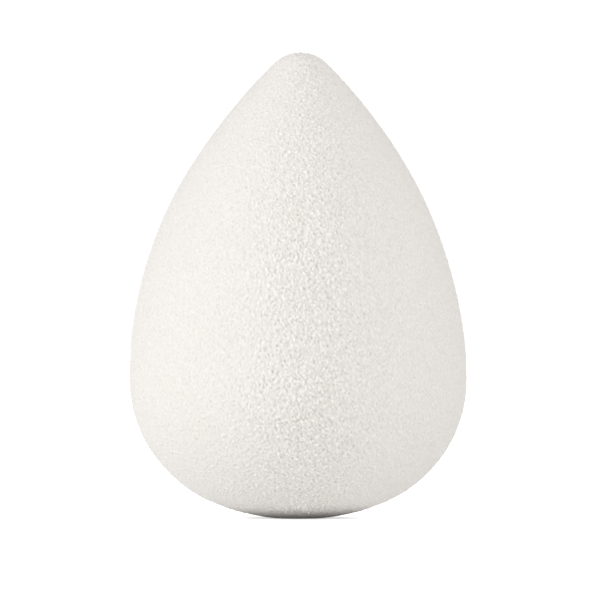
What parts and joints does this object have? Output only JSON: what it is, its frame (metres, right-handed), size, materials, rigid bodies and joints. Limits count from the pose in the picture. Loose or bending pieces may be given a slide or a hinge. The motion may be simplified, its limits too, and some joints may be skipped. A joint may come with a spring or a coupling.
{
  "type": "makeup sponge",
  "caption": "Teardrop makeup sponge in one piece of fine-celled foam, with a small rounded tip for details, a broad rounded base for blending and a flat foot to stand on.",
  "frame": {"origin": "centre of the flat foot on which the sponge stands", "axes": "+Z is the sponge's own axis, from the foot up to the tip. The sponge is round about it, so +X and +Y are free; -Y faces the viewer in the picture."},
  "size_m": [0.0434, 0.0434, 0.06],
  "materials": {
    "foam": "matte"
  },
  "bodies": {
    "root": {"foam_body": "foam"}
  },
  "joints": []
}
